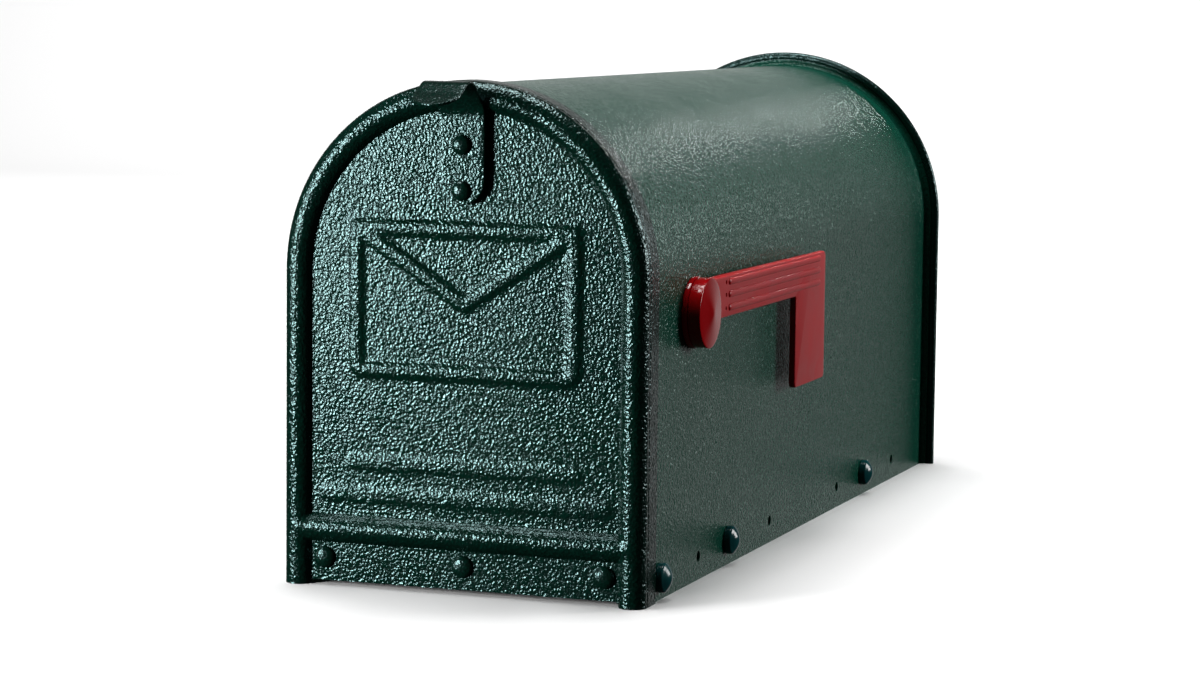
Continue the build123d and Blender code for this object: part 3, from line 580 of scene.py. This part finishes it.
def bent_tip(flag, line):
    """The plate beyond a line across it leans in very slightly: x falls by the lean times (y - line)."""
    shell = bmesh.new()
    shell.from_mesh(flag.data)
    edge = (Vector((0.0, line, 0.0)) + Vector(DATUM)) * MM
    bmesh.ops.bisect_plane(shell, geom=shell.verts[:] + shell.edges[:] + shell.faces[:],
                           plane_co=edge, plane_no=(0.0, 1.0, 0.0))
    for point in shell.verts:
        point.co.x -= TIP_LEAN * max(point.co.y - edge.y, 0.0)
    shell.to_mesh(flag.data)
    shell.free()
    soften(flag.data, 40.0)
    return flag


def make_ribs():
    """Low rounded ribs with round ends, standing on the arm's face."""
    y, z = PIVOT[1], PIVOT[2]
    start, stop = RIB_ENDS
    quarter = np.linspace(0, np.pi / 2, 6)
    along = np.concatenate([start + RIB_HALF * (1 - np.cos(quarter)),
                            np.linspace(start + RIB_HALF, stop - RIB_HALF, 20)[1:-1],
                            stop - RIB_HALF + RIB_HALF * np.sin(quarter)])
    from_end = np.minimum(along - start, stop - along)
    width = np.sqrt(np.maximum(RIB_HALF ** 2 - np.maximum(RIB_HALF - from_end, 0.0) ** 2, 0.0))[:, None]
    turn = np.linspace(0.0, np.pi, 9)
    across = np.concatenate([np.cos(turn), [-1.0, 1.0]])
    out = np.concatenate([np.sin(turn) * RIB_RISE, [-0.5, -0.5]])
    lift = np.where(out > 0, out * (width / RIB_HALF), out)
    reach = y + np.broadcast_to(along[:, None], lift.shape)
    ribs = [tube(np.stack([HUB_FACE + lift, reach, z + height + width * across], axis=-1))
            for height in RIB_HEIGHTS]
    return finish_mesh("flag_ribs", *joined(*ribs), sharp=60.0)


def make_hub():
    """Drum of the flag: straight sides with rounded edges."""
    back = COLLAR_FACE + 0.1
    edge = 0.5
    turn = np.linspace(0.0, np.pi / 2, 5)
    profile = [(0.0, back), (HUB_RADIUS - edge, back)]
    profile += [(HUB_RADIUS - edge + edge * math.sin(t), back + edge - edge * math.cos(t)) for t in turn]
    profile += [(HUB_RADIUS - 0.25, HUB_FACE - 0.2), (HUB_RADIUS - 0.5, HUB_FACE), (0.0, HUB_FACE)]
    return finish_mesh("flag_hub", *revolved(profile, (0.0, PIVOT[1], PIVOT[2]), 72), sharp=40.0)


def make_cap():
    """Hub cap: a rounded rim and a shallow cone that rises to a blunt point."""
    rim, shoulder, slope = HUB_RADIUS - 0.05, 0.4, 0.115
    turn = np.linspace(0.0, np.pi / 2 - slope, 6)
    base, bevel = HUB_FACE - 0.35, 0.15
    profile = [(0.0, base), (rim - 2 * bevel, base), (rim, base + bevel)]
    profile += [(rim - shoulder + shoulder * math.cos(t), base + bevel + shoulder * math.sin(t))
                for t in turn]
    radii = np.array([14.0, 11.0, 8.0, 5.0, 3.0, 1.6, 0.7, 0.0])
    profile += [(r, CAP_FACE - slope * (math.hypot(r, 1.2) - 1.2)) for r in radii]
    return finish_mesh("hub_cap", *revolved(profile, (0.0, PIVOT[1], PIVOT[2]), 72), sharp=40.0)


def make_collar():
    """Collar between hub and wall, with a fine seam round it."""
    radius = (HIGH["flag_base"][2] - LOW["flag_base"][2]) / 2
    profile = [(0.0, BODY_HALF), (radius - 0.3, BODY_HALF), (radius, BODY_HALF + 0.3),
               (radius, COLLAR_FACE - 0.5), (radius - 0.2, COLLAR_FACE - 0.15),
               (radius - 0.5, COLLAR_FACE), (0.0, COLLAR_FACE)]
    return finish_mesh("hub_collar", *revolved(profile, (0.0, PIVOT[1], PIVOT[2]), 72), sharp=40.0)


# ------------------------------------------------------------------ materials
class Signal:
    """One output socket of a finish, with arithmetic that adds Math nodes."""

    def __init__(self, finish, socket):
        self.finish, self.socket = finish, socket

    def math(self, operation, first, second):
        return self.finish.node("Math", {"operation": operation}, {0: first, 1: second})

    def __add__(self, other):
        return self.math("ADD", self, other)

    def __sub__(self, other):
        return self.math("SUBTRACT", self, other)

    def __rsub__(self, other):
        return self.math("SUBTRACT", other, self)

    def __mul__(self, other):
        return self.math("MULTIPLY", self, other)

    __radd__ = __add__
    __rmul__ = __mul__


class Finish:
    """A node material that is built up by calls."""

    def __init__(self, name):
        self.material = bpy.data.materials.new(name)
        self.material.use_nodes = True
        self.tree = self.material.node_tree
        self.tree.nodes.clear()

    def node(self, kind, settings, inputs, output=0):
        """Adds a node, sets its settings, then sets or links its sockets, and gives one output."""
        made = self.tree.nodes.new("ShaderNode" + kind)
        for key, value in settings.items():
            setattr(made, key, value)
        for key, value in inputs.items():
            if isinstance(value, Signal):
                self.tree.links.new(value.socket, made.inputs[key])
            else:
                made.inputs[key].default_value = value
        return Signal(self, made.outputs[output])

    def place(self):
        """Position on the piece, in millimetres."""
        spot = self.node("TexCoord", {}, {}, "Object")
        return self.node("VectorMath", {"operation": "SCALE"}, {0: spot, "Scale": 1.0 / MM})

    def noise(self, place, scale, detail=2.0, roughness=0.5, distortion=0.0):
        return self.node("TexNoise", {}, {"Vector": place, "Scale": scale, "Detail": detail,
                                          "Roughness": roughness, "Distortion": distortion})

    def cells(self, place, scale, smoothness):
        return self.node("TexVoronoi", {"feature": "SMOOTH_F1"},
                         {"Vector": place, "Scale": scale, "Smoothness": smoothness}, "Distance")

    def between(self, signal, low, high, to_low=0.0, to_high=1.0):
        """The signal stretched so that low and high become two new values, and held outside them."""
        return self.node("MapRange", {"clamp": True}, {"Value": signal, "From Min": low,
                         "From Max": high, "To Min": to_low, "To Max": to_high})

    def blend(self, share, first, second):
        """A colour between two colours."""
        return self.node("Mix", {"data_type": "RGBA"}, {0: share, 6: (*first, 1.0), 7: (*second, 1.0)}, 2)

    def bump(self, height, distance):
        """Surface relief, as many millimetres high as distance where the height is 1."""
        return self.node("Bump", {}, {"Height": height, "Distance": distance * MM, "Strength": 1.0})

    def surface(self, **inputs):
        """Ends the finish with one principled shader."""
        named = {key.replace("_", " "): value for key, value in inputs.items()}
        shader = self.node("BsdfPrincipled", {}, named)
        end = self.tree.nodes.new("ShaderNodeOutputMaterial")
        self.tree.links.new(shader.socket, end.inputs["Surface"])
        return self.material


def hammered_paint(name, colour, deep, grain, relief, gloss, tint, smooth_above=None):
    """Pebbled powder coat: smooth cells and fine peel raise the paint, and the hollows between them take a darker
    colour, which is painted shade.

    Above a given height the relief dies away, where the metal was handled smooth.
    """
    paint = Finish(name)
    place = paint.place()
    swirl = paint.node("TexNoise", {}, {"Vector": place, "Scale": 0.35 * grain, "Detail": 1.0}, "Color")
    moved = paint.node("VectorMath", {"operation": "MULTIPLY_ADD"},
                       {0: swirl, 1: (1.2, 1.2, 1.2), 2: place})
    pebbles = paint.cells(moved, 0.55 * grain, 0.5)
    peel = paint.noise(place, 0.75 * grain, 1.0, 0.5)
    height = (1.0 - pebbles) * 0.45 + peel * 0.9
    raised = paint.between(height, 0.6, 1.0)
    patches = paint.noise(place, 0.02, 3.0, 0.6)
    # the hollows take the darker colour: painted shade
    colour_here = paint.blend(raised, deep, colour)
    rough = paint.between(patches, 0.3, 0.7, gloss - 0.03, gloss + 0.04) + (1.0 - raised) * 0.1
    if smooth_above is not None:
        level = paint.node("SeparateXYZ", {}, {0: place}, 2)
        height = height * paint.between(level, smooth_above - 3.0, smooth_above + 3.0, 1.0, 0.3)
    relief_here = paint.bump(height, relief)
    return paint.surface(Base_Color=colour_here, Roughness=rough, Normal=relief_here, IOR=1.5,
                         Specular_Tint=(*tint, 1.0))


def moulded_plastic(name, colour, deep, gloss, relief):
    """Moulded plastic: faint flow marks, a fine skin and slightly uneven gloss."""
    plastic = Finish(name)
    place = plastic.place()
    flow = plastic.noise(place, 0.05, 3.0, 0.55, 0.6)
    skin = plastic.noise(place, 2.2, 2.0, 0.6)
    wave = plastic.noise(place, 0.12, 1.0)
    colour_here = plastic.blend(plastic.between(flow, 0.35, 0.7), deep, colour)
    rough = plastic.between(flow, 0.3, 0.7, gloss - 0.03, gloss + 0.06)
    relief_here = plastic.bump(skin * 0.5 + wave * 0.6, relief)
    return plastic.surface(Base_Color=colour_here, Roughness=rough, Normal=relief_here, IOR=1.38)


def zinc_plate(name):
    """Dull zinc plating: fine rolling marks along the sheet and cloudy patches."""
    zinc = Finish(name)
    place = zinc.place()
    cloud = zinc.noise(place, 0.12, 4.0, 0.6)
    grain = zinc.noise(place, 1.6, 3.0, 0.6, 0.4)
    colour = zinc.blend(zinc.between(cloud, 0.35, 0.65), (0.42, 0.41, 0.38), (0.62, 0.62, 0.6))
    rough = zinc.between(grain, 0.3, 0.7, 0.28, 0.45)
    return zinc.surface(Base_Color=colour, Roughness=rough, Metallic=0.9, Normal=zinc.bump(grain, 0.02))


def dress(piece, material, body, slot, *nodes):
    """Gives a new piece its material and body, and hides the parts that it stands for."""
    piece.data.materials.clear()
    piece.data.materials.append(material)
    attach(piece, body)
    if nodes:
        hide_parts(*nodes)


def repaint(node, material):
    """Gives a part that stays its material."""
    mesh = frame["nodes"][node].data
    mesh.materials.clear()
    mesh.materials.append(material)


# ------------------------------------------------------------------ put together
# the second green of each pair is painted shade for the hollows of the pebbled paint
DOOR_GREEN, DOOR_HOLLOW_SHADE, DOOR_TINT = (0.001, 0.02, 0.013), (0.0005, 0.008, 0.005), (0.6, 1.0, 1.0)
BODY_GREEN, BODY_HOLLOW_SHADE, BODY_TINT = (0.005, 0.075, 0.046), (0.003, 0.055, 0.034), (0.6, 1.0, 0.88)
door_paint = hammered_paint("door_hammered_green", DOOR_GREEN, DOOR_HOLLOW_SHADE, 1.2, 0.43, 0.11, DOOR_TINT)
strap_paint = hammered_paint("strap_hammered_green", DOOR_GREEN, DOOR_HOLLOW_SHADE, 1.25, 0.42, 0.12, DOOR_TINT,
                             DOOR_TOP + DATUM[2] - 6.0)
rivet_paint = hammered_paint("rivet_glossy_green", DOOR_GREEN, DOOR_HOLLOW_SHADE, 1.3, 0.22, 0.14, DOOR_TINT)
rim_paint = hammered_paint("rim_hammered_green", DOOR_GREEN, DOOR_HOLLOW_SHADE, 1.2, 0.35, 0.15, DOOR_TINT)
body_paint = hammered_paint("body_leather_green", BODY_GREEN, BODY_HOLLOW_SHADE, 1.25, 0.44, 0.12, BODY_TINT)
inner_paint = hammered_paint("inner_smooth_green", BODY_GREEN, BODY_HOLLOW_SHADE, 1.2, 0.08, 0.3, BODY_TINT)
flag_red = moulded_plastic("flag_crimson", (0.5, 0.003, 0.008), (0.42, 0.002, 0.006), 0.34, 0.01)
hub_red = moulded_plastic("hub_crimson", (0.4, 0.002, 0.005), (0.32, 0.001, 0.003), 0.1, 0.004)
cap_green = moulded_plastic("rivet_blue_green", (0.006, 0.075, 0.078), (0.003, 0.05, 0.055), 0.16, 0.008)
zinc = zinc_plate("zinc_plated_steel")

dress(make_body(), body_paint, "box", "body_paint", "body_shell")
dress(make_front_hem(), body_paint, "box", "body_paint")
dress(make_rear_wall(), rim_paint, "box", "body_paint", "rear_panel")
dress(make_door(), door_paint, "door", "door_paint", "door_panel")
dress(make_strap(), strap_paint, "door", "door_paint", "latch_strap")
strap_places = [(0.0, DOOR_TOP - 26.8), (0.0, DOOR_TOP - 45.9)]
dress(make_door_rivets("strap_rivets", strap_places, 4.2, 2.7, STRAP_FACE),
      rivet_paint, "door", "door_paint", "latch_rivets")
strip_places = [(-63.6, 12.0), (0.0, 12.0), (63.6, 12.0)]
dress(make_door_rivets("strip_rivets", strip_places, 4.8, 2.7, PANEL_DEPTH),
      rivet_paint, "door", "door_paint", "hinge_bar_rivets")
for node in ("hinge_pin_right", "hinge_pin_left", "floor_rivet_front_right", "floor_rivet_front_left",
             "floor_rivet_rear_right", "floor_rivet_rear_left"):
    dress(make_plastic_pin(node, node + "_moulded"), cap_green, "box", "rivet_plastic", node)
dress(make_flag(), flag_red, "flag", "flag_plastic", "flag_arm")
dress(make_ribs(), flag_red, "flag", "flag_plastic")
dress(make_hub(), hub_red, "flag", "flag_plastic")
dress(make_cap(), hub_red, "flag", "flag_plastic", "flag_hub_cap")
dress(make_collar(), hub_red, "box", "flag_plastic", "flag_base")
for node in ("floor_pan", "hinge_bar", "latch_hook"):
    repaint(node, inner_paint)
for node in ("catch_plate", "hinge_washer_right", "hinge_washer_left", "hinge_retainer_right",
             "hinge_retainer_left", "flag_pivot_bolt", "flag_wave_washer", "flag_backing_plate",
             "flag_lock_nut"):
    repaint(node, zinc)


# ------------------------------------------------------------------ stage, light and camera
def make_stage():
    """Pale floor that curves up behind the object: straight, a quarter circle, straight."""
    ground = cad_box[0][2]
    radius, near, far = 1.2, -4.0, 2.5
    turn = np.linspace(0.0, np.pi / 2, 24)
    y = np.concatenate([[near], far + radius * np.sin(turn), [far + radius]])
    z = np.concatenate([[ground], ground + radius - radius * np.cos(turn), [ground + 4.0]])
    x = np.array([-5.0, 5.0])
    points = np.stack([np.broadcast_to(x, (len(y), 2)), np.broadcast_to(y[:, None], (len(y), 2)),
                       np.broadcast_to(z[:, None], (len(y), 2))], axis=-1).reshape(-1, 3)
    mesh = bpy.data.meshes.new("pale_sweep")
    mesh.from_pydata(points.tolist(), [], grid_faces(len(y), 2))
    mesh.polygons.foreach_set("use_smooth", np.ones(len(mesh.polygons), bool))
    sweep = bpy.data.objects.new("pale_sweep", mesh)
    bpy.context.scene.collection.objects.link(sweep)
    sweep.visible_glossy = sweep.visible_diffuse = False
    paper = Finish("pale_paper")
    mesh.materials.append(paper.surface(Base_Color=(0.92, 0.92, 0.92, 1.0), Roughness=0.9))


def softbox(name, place, aim, size, power):
    """A soft rectangular lamp that faces a point."""
    lamp = bpy.data.lights.new(name, "AREA")
    lamp.shape = "RECTANGLE"
    lamp.size, lamp.size_y = size
    lamp.energy = power
    holder = bpy.data.objects.new(name, lamp)
    holder.location = place
    holder.rotation_euler = (Vector(aim) - Vector(place)).to_track_quat("-Z", "Y").to_euler()
    bpy.context.scene.collection.objects.link(holder)
    return holder


def aim_camera():
    """Camera turned round the object by azimuth, tipped down by elevation, with a small roll."""
    azimuth, elevation, roll = 0.3466, 0.1048, 0.0112
    place = np.array([515.5, -1254.8, 253.4])
    ahead = np.array([-math.sin(azimuth) * math.cos(elevation), math.cos(azimuth) * math.cos(elevation),
                      -math.sin(elevation)])
    right = np.cross(ahead, (0.0, 0.0, 1.0))
    right /= np.linalg.norm(right)
    up = np.cross(right, ahead)
    across = math.cos(roll) * right + math.sin(roll) * up
    upright = math.cos(roll) * up - math.sin(roll) * right
    lens = bpy.data.cameras.new("camera")
    lens.sensor_width, lens.lens = 36.0, 97.91
    lens.clip_start, lens.clip_end = 0.05, 30.0
    camera = bpy.data.objects.new("camera", lens)
    turn = Matrix((across, upright, -ahead)).transposed().to_4x4()
    camera.matrix_world = Matrix.Translation(Vector((place + DATUM) * MM)) @ turn
    bpy.context.scene.collection.objects.link(camera)
    bpy.context.scene.camera = camera


def light_room():
    """Surroundings that are pale behind the object and dim in front of it."""
    world = bpy.data.worlds.new("room")
    world.use_nodes = True
    tree = world.node_tree
    spot = tree.nodes.new("ShaderNodeTexCoord")
    towards = tree.nodes.new("ShaderNodeVectorMath")
    towards.operation = "DOT_PRODUCT"
    towards.inputs[1].default_value = (-0.25, 1.0, -0.05)
    level = tree.nodes.new("ShaderNodeMapRange")
    tree.links.new(spot.outputs["Generated"], towards.inputs[0])
    tree.links.new(towards.outputs["Value"], level.inputs["Value"])
    tree.links.new(level.outputs[0], tree.nodes["Background"].inputs["Strength"])
    for key, value in (("From Min", 0.78), ("From Max", 1.02), ("To Min", 0.015), ("To Max", 0.52)):
        level.inputs[key].default_value = value
    tree.nodes["Background"].inputs["Color"].default_value = (1.0, 1.0, 1.0, 1.0)
    bpy.context.scene.world = world


make_stage()
light_room()
softbox("top_light", (-0.1, 0.1, 2.4), (0.0, 0.15, 0.0), (0.8, 0.8), 36.0)
softbox("high_left_light", (-0.84, -0.5, 2.4), (0.0, -0.2, 0.1), (0.6, 0.6), 22.0)
softbox("roof_light", (0.172, 1.09, 0.59), (0.06, -0.13, 0.165), (0.05, 0.05), 0.42)
softbox("back_light", (-0.1, 1.9, 0.75), (0.0, 0.0, 0.15), (1.8, 0.5), 0.08)
wall_light = softbox("wall_light", (-0.5, 1.2, 3.0), (-0.5, 3.6, 1.2), (4.5, 0.6), 175.0)
wall_light.visible_glossy = False
softbox("right_light", (2.0, 1.25, 0.65), (0.0, 0.0, 0.1), (0.9, 0.9), 32.0)
softbox("front_left_light", (-0.64, -0.95, 0.17), (-0.05, -0.27, 0.1), (0.26, 0.34), 13.0)
aim_camera()
bpy.context.scene.view_settings.view_transform = "Standard"
